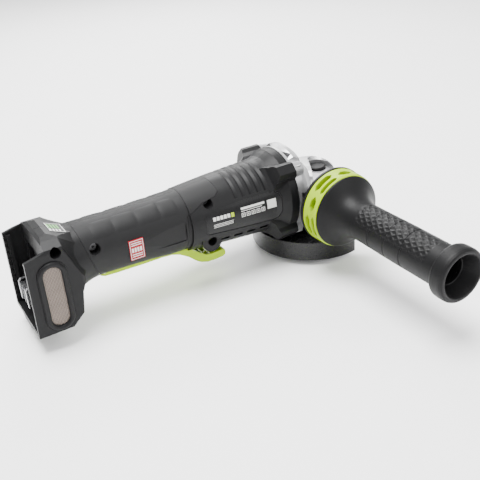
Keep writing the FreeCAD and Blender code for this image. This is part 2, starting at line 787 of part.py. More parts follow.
def grip(inset):
    """Oval grip that swells into the foot."""
    stations = [
        (-146, 30.2, 30.6, 52), (-165, 28.8, 29.2, 52.2), (-185, 27.9, 28.2, 52.6), (-205, 27.2, 27.5, 52.9),
        (-225, 26.7, 27.1, 53), (-243, 26.9, 27.4, 53), (-254, 29, 28.7, 51.5), (-264, 33, 31.7, 48.7),
    ]
    return loft([(x, half_y - inset, half_z - inset, z) for x, half_y, half_z, z in stations])


ROOF_LINE = [(-252, 76), (-258, 78.5), (-264, 80.6), (-270, 83), (-275, 85.2), (-280, 86.3), (-286, 85.6)]
ROOF_SECTION = [(34.9, -5), (34.9, 76.5), (33.2, 79.6), (24, 84), (15, 86.5)]
NECK_SECTION = [(34.9, -5), (34.9, 36), (32.5, 42), (20, 70.5), (8, 78.5)]
FLOOR_LIP = [(19, 2), (11, -2.6)]


def shoulders():
    """Cross-section of the foot, which narrows from the roof to the neck on both sides."""
    rings = [
        Part.makePolygon([V(x, y, z) for y, z in both_sides(half) + half[:1]])
        for x, half in ((-320, ROOF_SECTION), (-273, ROOF_SECTION), (-256, NECK_SECTION))
    ]
    return shaped("shoulders", Part.makeLoft(rings, True, True))


def foot():
    """Battery foot: upright block with a low roof, rounded front corners and a lip under its floor."""
    profile = padded([
        (foot_rear, 0.8), (-276.5, 1.4), (-265.4, 12), (-262.6, 32), (-258, 42), (-252, 60),
    ] + ROOF_LINE + [
        (cavity_x, 82.5), (cavity_x, 78.8), (foot_rear + 1.2, 74.2),
    ], foot_half * 2, (0, foot_half, 0), "XZ")
    plan = padded(rectangle((-325, -foot_half), (-256, foot_half)), 120, (0, 0, -5), "XY", fillet=7)
    lip = common(
        padded(both_sides(FLOOR_LIP), 30, (foot_rear, 0, 0), "YZ"),
        padded([(foot_rear, -4), (-297, -4), (-285, 2), (foot_rear, 2)], 60, (0, 30, 0), "XZ"),
    )
    return fuse(common(profile, shoulders(), plan), lip)


def corner_bosses(radius, rear_x):
    bosses = []
    for side, level in FOUR_CORNERS:
        centre = (side * boss_offset, motor_z + level * boss_offset)
        bosses.append(cylinder(radius, mouth_x - rear_x, (rear_x, *centre), "X"))
    return bosses


LOBE_SECTION = [(17, 28), (12.5, 37.5), (9, 42.5), (7.6, 47), (4.6, 49.9)]


def collar_lobes():
    """One lobe per corner screw: slopes down to the rear and widens into a web towards the barrel."""
    lobes = []
    for angle in (45, 135, 225, 315):
        flare = padded([
            (-73, 30), (-69, 35.5), (-65.2, 39), (-62.4, 45.5), (-60.2, 50), (mouth_x, 50), (mouth_x, 30),
        ], 36, (0, 18, 0), "XZ")
        lobe = common(flare, padded(both_sides(LOBE_SECTION), 36, (-76, 0, 0), "YZ"))
        lobes.append(place(lobe, (0, 0, motor_z), FreeCAD.Rotation(V(1, 0, 0), angle)))
    return lobes


def sleeve_zone(inset):
    """Upright prism over the stretch that the soft sleeve covers, with a tongue over the barrel."""
    return padded([
        (-236.5 + inset, 10), (-239 + inset, 28), (-245.5 + inset, 42), (-251 + inset, 61), (-254.5 + inset, 80),
        (-256 + inset, 100), (-123 - inset, 100), (-119 - inset, 86), (-118 - inset, 79 + inset),
        (-123 - inset, 76 + inset), (-137 - inset, 73.6 + inset), (-154 - inset, 66 + inset), (-155.4 - inset, 46),
        (-156.5 - inset, 10),
    ], 100, (0, 50, 0), "XZ")


def sleeve_surround():
    """All space outside the sleeve zone."""
    return cut(box((-400, -60, -20), (20, 60, 140)), sleeve_zone(0.25))


SCREW_WELLS = ((-132, 72.5), (-132, 34.5), (-243.5, 62.5), (-279.5, 75.5))
WELL_R = 4.7
HEAD_SEAT_Y = -16


def screw_bosses(radius):
    return [cylinder(radius, 2 * foot_half, (x, foot_half, z), "-Y") for x, z in SCREW_WELLS]


def sleeve_core():
    """Everything of the body that lies under the sleeve."""
    return fuse(barrel(sleeve_wall), grip(sleeve_wall))


def body_form():
    """Full outer form of the two housing halves with their sleeve."""
    lower_lobe = cylinder(10.5, 57, (-132, 28.5, 34.5), "-Y")
    return fuse(barrel(0), grip(0), foot(), lower_lobe, *collar_lobes())


def body_hollow():
    """Space inside the shell, less the ribs and bosses that stand in it."""
    room = fuse(
        turned([
            (0, -1), (mouth_r - wall, -1), (mouth_r - wall, 9), (37.4, 14), (35.2, 18.5), (33.9, 23.5),
            (33.6, 28), (32.8, 46), (31.4, 70), (29.7, 92), (28, 110), (0, 110),
        ], (mouth_x, 0, motor_z), "-X"),
        grip(sleeve_wall + 2.4),
        box((-282, -30, 6.5), (-268, 30, 65)),
        box((-270, -19, 34), (-255, 19, 69)),
    )
    bearing_rib = cut(
        cylinder(34, 8.4, (-127.2, 0, motor_z), "X"), cylinder(13.2, 12, (-129, 0, motor_z), "X"),
        box((-130, -24, motor_z - 1), (-115, -14, motor_z + 9)),
    )
    stator_ribs = [
        cut(cylinder(36, 3, (x, 0, motor_z), "X"), cylinder(STATOR_R, 5, (x - 1, 0, motor_z), "X"))
        for x in (-106, -75)
    ]
    air_gap = box((-110, -40, motor_z - 5), (-70, 40, motor_z + 5))
    spring_rib = box((-206, -30, 40.4), (-194, 30, 43))
    floor_under_cavity = box((-300, -40, -5), (-281.9, 40, 100))
    return cut(room, bearing_rib, *[cut(rib, air_gap) for rib in stator_ribs], spring_rib,
               floor_under_cavity, *screw_bosses(6.6), *corner_bosses(boss_r, -58))


PADDLE_SLOT = box((-243, -12.9, 5), (-137, 12.9, 38.5))
PADDLE_NOSE_SLOT = box((-138, -12.9, 5), (-129, 12.9, 24.5))
FILTER_X = -286
FILTER_LOW = 15.5
FILTER_HIGH = 56.5
FILTER_HALF = 13
MESH_HALF = 8


def battery_rails():
    return [
        box((-303.6, min(side * 32.4, side * 28.6), 8), (-300.2, max(side * 32.4, side * 28.6), 72.5))
        for side in (-1, 1)
    ]


def battery_cavity():
    """Open to the rear and the top, with two rails and a pocket for the terminal block."""
    room = fuse(
        box((foot_rear - 10, -31.4, 4.6), (cavity_x, 31.4, 110)),
        box((cavity_x - 1, -24, 8), (cavity_x + 4, 24, 66)),
        box((cavity_x, -12, 17), (-270, 12, 35.6)),
    )
    return cut(room, *battery_rails())


LABEL_OUTLINE = [
    (-138, 45), (-138, 62.8), (-135.6, 65), (-98, 68.4), (-64.5, 68.4), (-60.4, 66), (-58.6, 61.5),
    (-58.8, 46.9), (-62, 40.6), (-66.5, 38.6), (-112, 41.4), (-135.6, 43),
]


def label_zone(inset):
    middle_x = -98
    middle_z = 53.5
    half_x = 40
    half_z = 15
    points = [
        (middle_x + (x - middle_x) * (1 - inset / half_x), middle_z + (z - middle_z) * (1 - inset / half_z))
        for x, z in LABEL_OUTLINE
    ]
    return padded(points, 60, (0, 0, 0), "XZ")


def soft_groove(x):
    """Wide shallow ring groove round the barrel."""
    outside = 36.3 + (x + 72) * 0.0484
    return turned([
        (outside + 9, 0), (outside + 0.4, 0), (outside - 0.35, 2.5), (outside - 0.6, 3.4), (outside - 0.35, 4.3),
        (outside + 0.4, 6.8), (outside + 9, 6.8),
    ], (x - 3.4, 0, motor_z), "X")


def barrel_cuts():
    """Label recess, ring grooves over the top and air slots under the label, on the outside."""
    recess = cut(label_zone(0), barrel(1.1))
    over_the_top = box((-112, -50, 70.5), (-64, 50, 120))
    grooves = [common(soft_groove(x), over_the_top) for x in (-104, -96, -88, -80, -72)]
    vents = [box((x - 4.5, -45, 31), (x + 4.5, -20, 34)) for x in (-118, -104, -90, -76)]
    return [recess, *grooves, *vents]


def filter_recess():
    return fuse(
        slot_block(FILTER_X, FILTER_LOW, FILTER_HIGH, FILTER_HALF + 0.2, 4, -foot_half + 2.2),
        *[box((-283, -40, z - 2), (-279, -28, z + 2)) for z in (16, 26, 36, 46, 56)],
    )


def right_screw_holes():
    holes = []
    for x, z in SCREW_WELLS:
        holes.append(cylinder(WELL_R, 40, (x, HEAD_SEAT_Y, z), "-Y"))
        holes.append(cylinder(2.1, 30, (x, 0.2, z), "-Y"))
    return holes


def left_screw_holes():
    return [cylinder(1.6, 16, (x, 0, z), "Y") for x, z in SCREW_WELLS]


def front_screw_holes():
    return [
        cylinder(2.05, 20, (mouth_x + 1, -boss_offset, motor_z + level * boss_offset), "-X")
        for level in (-1, 1)
    ]


def paddle_pin_holes():
    return cylinder(2, 33, (-236, 16.5, 33), "-Y")


def drilled(half, drills):
    for drill in drills:
        half = cut(half, drill)
    return half


def right_side(form):
    return common(form, box((-400, -90, -60), (20, -0.1, 150)))


def housing_halves():
    """One half is shaped first and mirrored, then each half gets its own screw holes."""
    half = right_side(body_form())
    for tool in (
        cut(sleeve_zone(0), sleeve_core()), body_hollow(), battery_cavity(), PADDLE_SLOT, PADDLE_NOSE_SLOT,
        box((mouth_x - 30, -60, -20), (mouth_x + 1, 60, 11)), filter_recess(), fuse(*barrel_cuts()),
        paddle_pin_holes(), *front_screw_holes(),
    ):
        half = cut(half, tool)
    return drilled(half, right_screw_holes()), drilled(mirrored(half, V(0, 1, 0)), left_screw_holes())


right_half, left_half = housing_halves()
node("housing_right", right_half)
node("housing_left", left_half)


def grip_sleeves():
    """Soft sleeve halves: flat side panels between two grooves, a recess for the badge on the right."""
    half = right_side(cut(fuse(barrel(0), grip(0)), sleeve_core()))
    for tool in (
        sleeve_surround(), PADDLE_SLOT, paddle_pin_holes(), box((-199, -45, 44), (-157, -27.3, 65)),
        box((-199, -45, 43.4), (-158, -26.4, 44.4)), box((-199, -45, 64.6), (-158, -26.4, 65.6)),
    ):
        half = cut(half, tool)
    badge_recess = box((-214, -45, 41), (-199.4, -26.5, 61))
    well = cylinder(WELL_R + 0.4, 50, (-243.5, 0, 62.5), "-Y")
    return cut(cut(half, badge_recess), well), mirrored(half, V(0, 1, 0))


right_sleeve, left_sleeve = grip_sleeves()
node("grip_sleeve_right", right_sleeve)
node("grip_sleeve_left", left_sleeve)


def housing_screws():
    screws = []
    for x, z in SCREW_WELLS:
        shank = cylinder(1.6, 26, (x, HEAD_SEAT_Y, z), "Y")
        head = cylinder(3.6, 2.6, (x, HEAD_SEAT_Y, z), "-Y")
        socket = cylinder(1.5, 1.8, (x, HEAD_SEAT_Y - 1, z), "-Y")
        screws.append(cut(fuse(shank, head), socket))
    return group(*screws)


def rating_label():
    return common(label_zone(0.3), cut(barrel(0.45), barrel(1.1)), box((-150, -60, 0), (-50, -1, 100)))


def neck_sticker():
    """Small sticker on the slope in front of the roof."""
    lift = 0.35
    top = [(x, z + lift) for x, z in ((-275, 85.2), (-270, 83), (-264, 80.6), (-261, 79.55))]
    slab = padded(top + [(-261, 76), (-275, 76)], 19, (0, 7, 0), "XZ")
    return cut(cut(slab, foot()), grip(0))


node("housing_screws", housing_screws())
node("rating_label", rating_label())
node("grip_badge", box((-213.7, -27.5, 41.3), (-199.7, -26.5, 60.7)))
node("neck_sticker", neck_sticker())


# ---------------------------------------------------------------- dust filters

def filter_frame():
    outside = slot_block(FILTER_X, FILTER_LOW, FILTER_HIGH, FILTER_HALF, 3, -foot_half + 2)
    rim = cut(
        slot_block(FILTER_X, FILTER_LOW, FILTER_HIGH, FILTER_HALF - 1.4, 0.6, -foot_half - 1),
        slot_block(FILTER_X, FILTER_LOW, FILTER_HIGH, MESH_HALF + 2, 2, -foot_half),
    )
    opening = slot_block(FILTER_X, FILTER_LOW, FILTER_HIGH, MESH_HALF, 8, -foot_half + 4)
    return cut(fuse(outside, rim), opening)


def filter_mesh():
    return slot_block(FILTER_X, FILTER_LOW, FILTER_HIGH, MESH_HALF, 0.8, -foot_half + 1.2)


node("dust_filter_right", filter_frame())
node("filter_mesh_right", filter_mesh())
node("dust_filter_left", mirrored(filter_frame(), V(0, 1, 0)))
node("filter_mesh_left", mirrored(filter_mesh(), V(0, 1, 0)))


# ---------------------------------------------------------------- paddle and switch

PADDLE_LOWER = [
    (-240, 31), (-239, 28), (-235, 26.2), (-224, 25.6), (-200, 25.2), (-178, 25.2), (-168, 24.6), (-160, 22),
    (-151, 16.4), (-143, 9.2), (-138, 6), (-131, 4), (-123, 3.8), (-114, 4.6), (-111.4, 6.4), (-111, 8.6),
]
PADDLE_UPPER = [
    (-111.6, 11.4), (-114, 12.2), (-122.5, 11.6), (-129, 11.6), (-133, 12.8), (-138.7, 16.6), (-148.7, 24.6),
    (-156, 28.6), (-164, 31), (-174, 32), (-230, 36.4), (-238, 36.4), (-240, 34.6),
]
PADDLE_HALF = 12.3
PIVOT_X = -236
PIVOT_Z = 33
PLUNGER_X = -172
TAB_X = -180
TAB_Z = 29.8


def paddle_lever():
    """Channel-shaped lever, open upwards, with cross ribs near its front and a post under the plunger."""
    outside = padded(PADDLE_LOWER + PADDLE_UPPER, 2 * PADDLE_HALF, (0, PADDLE_HALF, 0), "XZ")
    floor = [(x, z + 2.6) for x, z in PADDLE_LOWER[3:14]]
    trough = padded([(-230, 60), (-230, 28.4)] + floor + [(-114.6, 60)], 2 * PADDLE_HALF - 5,
                    (0, PADDLE_HALF - 2.5, 0), "XZ")
    ribs = [
        common(box((x - 0.7, -PADDLE_HALF, 0), (x + 0.7, PADDLE_HALF, top)), padded(
            PADDLE_LOWER + PADDLE_UPPER, 2 * PADDLE_HALF, (0, PADDLE_HALF, 0), "XZ"))
        for x, top in ((-144, 17), (-138, 12.4), (-132, 10), (-126, 9.4), (-120, 9.4))
    ]
    spine = common(box((-148, -0.8, 0), (-113, 0.8, 9.4)), padded(
        PADDLE_LOWER + PADDLE_UPPER, 2 * PADDLE_HALF, (0, PADDLE_HALF, 0), "XZ"))
    post = box((PLUNGER_X - 3, -4, 26.5), (PLUNGER_X + 3, 4, 36.2))
    tab_slot = box((-193, -4.6, 20), (-175.6, 4.6, 30))
    tab_pin_hole = cylinder(1.05, 30, (TAB_X, 15, TAB_Z), "-Y")
    pivot_hole = cylinder(2.05, 30, (PIVOT_X, 15, PIVOT_Z), "-Y")
    return cut(fuse(cut(outside, trough, tab_slot), *ribs, spine, post), pivot_hole, tab_pin_hole)


def lock_off_tab():
    """Small tab whose foot pokes through the paddle floor."""
    blade = padded([
        (-190, 22.2), (-184.4, 22.2), (-183, 26.8), (-177.6, 27.4), (-176.8, 30), (-178.4, 32.6), (-182, 32.8),
        (-186.5, 30), (-190, 26.8),
    ], 8, (0, 4, 0), "XZ", fillet=0.8)
    return cut(blade, cylinder(1.04, 20, (TAB_X, 10, TAB_Z), "-Y"))


def switch_body():
    """Trigger switch case with a bore for its plunger and two solder tabs."""
    case = padded(rectangle((-186, 42), (-158, 59)), 16, (0, 8, 0), "XZ", fillet=1)
    tabs = [box((-189.5, side * 5 - 1.5, 50), (-185.5, side * 5 + 1.5, 51)) for side in (-1, 1)]
    return cut(fuse(case, *tabs), cylinder(2.5, 10, (PLUNGER_X, 0, 41)))


node("paddle_lever", paddle_lever())
node("paddle_pin", cylinder(2, 31, (PIVOT_X, 15.5, PIVOT_Z), "-Y"))
node("paddle_spring", shaped("paddle_spring", spring_solid(4, 0.5, 11.2, 5, (-200, 0, 28.6))))
node("lock_off_tab", lock_off_tab())
node("lock_off_pin", cylinder(1, 22, (TAB_X, 11, TAB_Z), "-Y"))
node("switch_body", switch_body())
node("switch_plunger", turned([(0, 0), (1.8, 0), (2.2, 0.5), (2.2, 9), (0, 9)], (PLUNGER_X, 0, 36.6)))


# ---------------------------------------------------------------- electronics

def controller_tray():
    return cut(box((-281, -21, 9), (-274.4, 21, 57)), box((-279.6, -19.6, 10.4), (-274, 19.6, 55.6)))


def controller_board():
    """Circuit board with power transistors, two capacitors and a plug."""
    board = box((-278.6, -19.2, 10.8), (-277, 19.2, 55.2))
    chips = [box((-277.1, -16 + 11 * i, 44), (-274.8, -9 + 11 * i, 53)) for i in range(3)]
    cans = [cylinder(4, 6.6, (-277.1, side * 9, 34), "X") for side in (-1, 1)]
    plug = box((-277.1, -7, 14), (-271, 7, 21))
    return fuse(board, *chips, *cans, plug)


BLADES_Y = (-10.5, -3.5, 3.5, 10.5)


def terminal_block():
    """Moulded block in the battery cavity, with four blade slots."""
    plate = box((cavity_x + 0.2, -20, 10), (cavity_x + 3.8, 20, 42))
    nose = padded(rectangle((-298, 14), (cavity_x + 0.3, 38)), 30, (0, 15, 0), "XZ", fillet=1.2)
    slots = [box((-300, y - 1.6, 15.8), (-291, y + 1.6, 36.5)) for y in BLADES_Y]
    ways = [box((-300, y - 0.4, 17.5), (-280, y + 0.4, 35)) for y in BLADES_Y]
    return cut(fuse(plate, nose), *slots, *ways)


def battery_terminals():
    return group(*[box((-305, y - 0.4, 17.5), (-282.5, y + 0.4, 35)) for y in BLADES_Y])


def wire(points, radius):
    """A round lead swept along a smooth curve through the points."""
    curve = Part.BSplineCurve()
    curve.interpolate([V(*point) for point in points])
    start = curve.value(curve.FirstParameter)
    heading = curve.tangent(curve.FirstParameter)[0]
    end_ring = Part.Wire(Part.Circle(start, heading, radius).toShape())
    return Part.Wire(curve.toShape()).makePipeShell([end_ring], True, False)


def leads(name, count, step, route, radius):
    """Leads side by side along one route, each a step apart."""
    wires = []
    for i in range(count):
        shift = V(*step) * (i - (count - 1) / 2)
        wires.append(wire([V(*point) + shift for point in route], radius))
    return shaped(name, Part.makeCompound(wires))


node("controller_tray", controller_tray())
node("controller_board", controller_board())
node("terminal_block", terminal_block())
node("battery_terminals", battery_terminals())
node("battery_leads", leads("battery_leads", 2, (0, 10, 0), [
    (-273, 5, 60), (-266, 5, 52.5), (-256, 4, 49), (-240, 2, 48), (-215, 0, 49), (-190, 0, 50.5),
], 1.2))
node("motor_leads", leads("motor_leads", 3, (0, 3, 0), [
    (-272.5, -8, 60), (-266, -8, 64), (-256, -6, 69), (-243, -5, 71.4), (-230, -7, 70), (-215, -12, 65.5),
    (-195, -16, 60), (-165, -17.5, 57), (-140, -18.5, 56), (-113, -19, 56),
], 1.1))


# ---------------------------------------------------------------- side handle

def handle_stud():
    return turned([
        (0, 0), (3.2, 0), (stud_r - 0.04, 0.8), (stud_r - 0.04, 10.8), (8, 10.8), (8, 15.5), (stud_r, 15.5),
        (stud_r, 50), (0, 50),
    ], (stud_x, -22.5, stud_z), "-Y")


def handle_core():
    """Hub, thin rim disc and the tube that the grip is moulded on."""
    start = -38
    disc = start - rim_y
    return turned([
        (stud_r, 0), (11, 0), (13, 2), (15, 11), (18, 16), (24, disc), (37.2, disc), (37.4, disc + 0.6),
        (37.4, disc + 2.2), (37, disc + 2.8), (12.5, disc + 2.8), (12.5, 62), (stud_r, 62),
    ], (stud_x, start, stud_z), "-Y")


def lens_slot(angle, half_length, half_width, middle):
    """Long slot with pointed ends, cut radially through the ring at an angle round the stud axis."""
    end = half_width * 1.5
    outline = padded([
        (-half_length, middle), (end - half_length, middle + half_width), (half_length - end, middle + half_width),
        (half_length, middle), (half_length - end, middle - half_width), (end - half_length, middle - half_width),
    ], 20, (0, 0, 26), "XY", fillet=0.7)
    holder = group(outline)
    place(holder, (0, 0, 0), FreeCAD.Rotation(V(0, 1, 0), angle))
    return holder


def damper_ring():
    """Lime ring: pairs of long slots between single wide ones, five times round."""
    length = rim_y - 3 - bell_y
    ring = turned([
        (30, 0.1), (36.2, 0.1), (36.9, 1), (36.9, 3), (36.3, length - 2), (35.4, length - 0.2), (30, length - 0.2),
    ], (0, 0, 0), "-Y")
    slots = []
    for i in range(5):
        turn = 72 * i - 30
        slots.append(lens_slot(turn, 11.5, 2.9, -7))
        slots.append(lens_slot(turn, 11.5, 2.1, -14.6))
        slots.append(lens_slot(turn + 36, 8, 3.3, -11.2))
    return place(cut(ring, *slots), (stud_x, rim_y - 2.9, stud_z))


def handle_grip():
    """Thin-edged trumpet mouth, then a gently swelling grip with four ring seams."""
    end = bell_y - knob_y - 16.8
    solid = turned([
        (31.6, 0), (bell_r - 0.5, 0), (bell_r, 0.4), (bell_r, 1.3), (34.6, 2.3), (32, 3.9), (28.6, 6.4), (25.4, 9.6),
        (22.6, 13.4), (20.6, 17.6), (19.2, 22), (18.4, 26), (18.1, 29), (18, 38), (grip_r - 0.2, 56),
        (grip_r + 0.1, 80), (grip_r + 0.1, 100), (grip_r, 118), (grip_r - 0.2, end), (12.7, end), (12.7, 24),
        (16.4, 17), (20.6, 10), (26, 4.8), (31, 2.2),
    ], (stud_x, bell_y, stud_z), "-Y")
    seams = []
    for distance in (28.5, 52, 73, 93):
        seams.append(cut(
            cylinder(24, 0.9, (stud_x, bell_y - distance, stud_z), "-Y"),
            cylinder(17.5, 2, (stud_x, bell_y - distance + 0.5, stud_z), "-Y"),
        ))
    return cut(solid, *seams)


def end_knob():
    """Flared hollow end of the handle."""
    return turned([
        (12.7, 0.2), (17.4, 0.2), (17.4, 1.4), (21.4, 1.4), (23.2, 2.3), (knob_r - 0.2, 4.2), (knob_r, 7),
        (knob_r, 12.4), (knob_r - 0.2, 14.2), (knob_r - 0.9, 15.8), (knob_r - 2.1, 16.6), (knob_r - 3.7, 16.8),
        (19.6, 16.4), (18.9, 15.2), (13.4, 3.6), (12.7, 3),
    ], (stud_x, knob_y + 16.8, stud_z), "-Y")


node("handle_stud", handle_stud())
node("handle_core", handle_core())
node("damper_ring", damper_ring())
node("handle_grip", handle_grip())
node("handle_end_knob", end_knob())


# ---------------------------------------------------------------- checks and export

doc.recompute()
faults = [o.Name for o in doc.Objects if "Invalid" in o.State or "Error" in o.State]
for name, piece in nodes.items():
    shape = piece.Shape
    if shape.isNull() or not shape.isValid() or shape.Volume <= 0:
        faults.append(name)
if faults:
    raise RuntimeError("failed pieces: " + ", ".join(faults))
os.makedirs("parts", exist_ok=True)
for name, piece in nodes.items():
    piece.Shape.exportStep(f"parts/{name}.step")
    print(f"{name:24s} {len(piece.Shape.Solids)} solids {piece.Shape.Volume / 1000:8.2f} cm3")
print(len(nodes), "nodes")
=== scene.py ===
import math

import bpy
import bmesh
from mathutils import Matrix, Vector


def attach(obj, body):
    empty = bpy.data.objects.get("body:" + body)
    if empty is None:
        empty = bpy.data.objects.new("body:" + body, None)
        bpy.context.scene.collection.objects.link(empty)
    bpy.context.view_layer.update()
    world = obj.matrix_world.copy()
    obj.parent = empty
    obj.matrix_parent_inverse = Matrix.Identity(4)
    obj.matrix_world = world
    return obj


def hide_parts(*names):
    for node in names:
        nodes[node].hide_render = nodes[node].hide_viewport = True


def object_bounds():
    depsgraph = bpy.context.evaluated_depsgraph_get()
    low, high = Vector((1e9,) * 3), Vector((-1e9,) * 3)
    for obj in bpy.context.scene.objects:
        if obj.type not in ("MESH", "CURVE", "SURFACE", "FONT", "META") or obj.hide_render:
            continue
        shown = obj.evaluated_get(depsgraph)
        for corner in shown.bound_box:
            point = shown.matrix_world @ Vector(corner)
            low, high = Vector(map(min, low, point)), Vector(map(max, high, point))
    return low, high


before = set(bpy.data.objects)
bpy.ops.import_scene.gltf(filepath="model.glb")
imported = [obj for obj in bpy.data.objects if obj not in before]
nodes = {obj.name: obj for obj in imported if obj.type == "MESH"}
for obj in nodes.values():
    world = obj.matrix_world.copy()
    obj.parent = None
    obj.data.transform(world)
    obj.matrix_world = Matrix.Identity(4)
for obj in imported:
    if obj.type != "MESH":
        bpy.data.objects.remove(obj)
cad_low, cad_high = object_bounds()
MM = 0.001


# ------------------------------------------------------------------ materials

def shader_tree(name):
    """A new node material and its principled shader."""
    material = bpy.data.materials.new(name)
    material.use_nodes = True
    tree = material.node_tree
    shader = tree.nodes["Principled BSDF"]
    place = tree.nodes.new("ShaderNodeTexCoord")
    return material, tree, shader, place.outputs["Object"]


def link(tree, source, target):
    tree.links.new(source, target)


def noise_field(tree, place, scale, detail=4.0, roughness=0.55, stretch=None):
    """Fractal noise over object space; scale is in cycles per metre."""
    if stretch is not None:
        mapping = tree.nodes.new("ShaderNodeMapping")
        mapping.inputs["Scale"].default_value = stretch
        link(tree, place, mapping.inputs["Vector"])
        place = mapping.outputs["Vector"]
    node = tree.nodes.new("ShaderNodeTexNoise")
    node.inputs["Scale"].default_value = scale
    node.inputs["Detail"].default_value = detail
    node.inputs["Roughness"].default_value = roughness
    link(tree, place, node.inputs["Vector"])
    return node.outputs["Fac"]


def ramp(tree, value, stops):
    node = tree.nodes.new("ShaderNodeValToRGB")
    elements = node.color_ramp.elements
    while len(elements) < len(stops):
        elements.new(0.5)
    for element, (position, colour) in zip(elements, stops):
        element.position = position
        element.color = (*colour, 1.0)
    link(tree, value, node.inputs["Fac"])
    return node.outputs["Color"]


def remap(tree, value, low, high, from_low=0.25, from_high=0.75):
    node = tree.nodes.new("ShaderNodeMapRange")
    node.inputs["From Min"].default_value = from_low
    node.inputs["From Max"].default_value = from_high
    node.inputs["To Min"].default_value = low
    node.inputs["To Max"].default_value = high
    link(tree, value, node.inputs["Value"])
    return node.outputs["Result"]


def bump(tree, shader, layers):
    """Stacked bump layers, each (height output, strength, distance in metres)."""
    normal = None
    for height, strength, distance in layers:
        node = tree.nodes.new("ShaderNodeBump")
        node.inputs["Strength"].default_value = strength
        node.inputs["Distance"].default_value = distance
        link(tree, height, node.inputs["Height"])
        if normal is not None:
            link(tree, normal, node.inputs["Normal"])
        normal = node.outputs["Normal"]
    link(tree, normal, shader.inputs["Normal"])


def shade(colour, factor):
    return tuple(min(1.0, c * factor) for c in colour)


ROUGH_SPREAD = 0.06
BROAD_DRIFT = 45.0
FINE_SHARE = 0.35


def surface(name, colour, rough, grain, grain_depth, variation=0.12, metallic=0.0, specular=0.5,
            coat=0.0, stretch=None):
    """Base for every finish: broad and fine colour drift, mottled roughness and a fine bump."""
    material, tree, shader, place = shader_tree(name)
    drift = noise_field(tree, place, BROAD_DRIFT, 3.0)
    fine = noise_field(tree, place, grain, 5.0, 0.6, stretch)
    mixed = tree.nodes.new("ShaderNodeMath")
    mixed.operation = "MULTIPLY_ADD"
    mixed.inputs[1].default_value = FINE_SHARE
    link(tree, fine, mixed.inputs[0])
    scaled = tree.nodes.new("ShaderNodeMath")
    scaled.operation = "MULTIPLY"
    scaled.inputs[1].default_value = 1 - FINE_SHARE
    link(tree, drift, scaled.inputs[0])
    link(tree, scaled.outputs["Value"], mixed.inputs[2])
    colours = ramp(tree, mixed.outputs["Value"], [
        (0.3, shade(colour, 1 - variation)), (0.5, colour), (0.72, shade(colour, 1 + variation)),
    ])
    link(tree, colours, shader.inputs["Base Color"])
    link(tree, remap(tree, fine, rough - ROUGH_SPREAD, rough + ROUGH_SPREAD), shader.inputs["Roughness"])
    shader.inputs["Metallic"].default_value = metallic
    shader.inputs["Specular IOR Level"].default_value = specular
    shader.inputs["Coat Weight"].default_value = coat
    shader.inputs["Coat Roughness"].default_value = 0.25
    bump(tree, shader, [(drift, 0.08, 0.0006), (fine, 0.5, grain_depth)])
    return material


CHARCOAL = (0.006, 0.006, 0.0064)
MATERIALS = {
    "shell": surface("shell_plastic", CHARCOAL, 0.44, 2600, 0.00005, specular=0.16),
    "rubber": surface("soft_grip_rubber", (0.0062, 0.0062, 0.0066), 0.55, 2200, 0.00006, specular=0.2),
    "handle": surface("handle_rubber", (0.0045, 0.0045, 0.0048), 0.46, 2400, 0.00005, specular=0.15),
    "lime": surface("lime_plastic", (0.31, 0.47, 0.001), 0.38, 1800, 0.00002, variation=0.05, specular=0.14),
    "cast": surface("cast_aluminium", (0.42, 0.42, 0.425), 0.36, 1500, 0.00007, variation=0.07, metallic=0.75,
                    specular=0.5),
    "steel": surface("machined_steel", (0.50, 0.50, 0.51), 0.28, 900, 0.00002, variation=0.08, metallic=1.0,
                     stretch=(1.0, 1.0, 6.0)),
    "dark_steel": surface("blackened_steel", (0.06, 0.06, 0.062), 0.38, 1500, 0.00003, metallic=0.6),
    "brass": surface("copper_winding", (0.60, 0.30, 0.14), 0.35, 2500, 0.00006, metallic=0.9),
    "guard": surface("guard_paint", (0.0045, 0.0045, 0.005), 0.28, 1200, 0.00004, specular=0.3, coat=0.05),
    "panel": surface("dark_panel", (0.0035, 0.0035, 0.004), 0.30, 3000, 0.00001, specular=0.22),
    "print": surface("panel_print", (0.62, 0.62, 0.60), 0.45, 2600, 0.00001, variation=0.06, specular=0.3),
    "lime_print": surface("lime_print", (0.36, 0.50, 0.008), 0.45, 2600, 0.00001, variation=0.06,
                          specular=0.3),
    "red": surface("red_badge", (0.28, 0.004, 0.010), 0.38, 2600, 0.00002, variation=0.08, specular=0.2),
    "sticker_green": surface("green_print", (0.08, 0.30, 0.05), 0.4, 2600, 0.00001, variation=0.05),
    "mesh": surface("filter_wire", (0.24, 0.195, 0.165), 0.45, 2600, 0.00002, metallic=0.6),
    "mesh_back": surface("mesh_backing", (0.03, 0.026, 0.023), 0.6, 1800, 0.00004),
    "board": surface("circuit_board", (0.02, 0.11, 0.05), 0.4, 1500, 0.00003),
    "lead": surface("lead_sleeve", (0.18, 0.02, 0.02), 0.5, 1800, 0.00003),
}

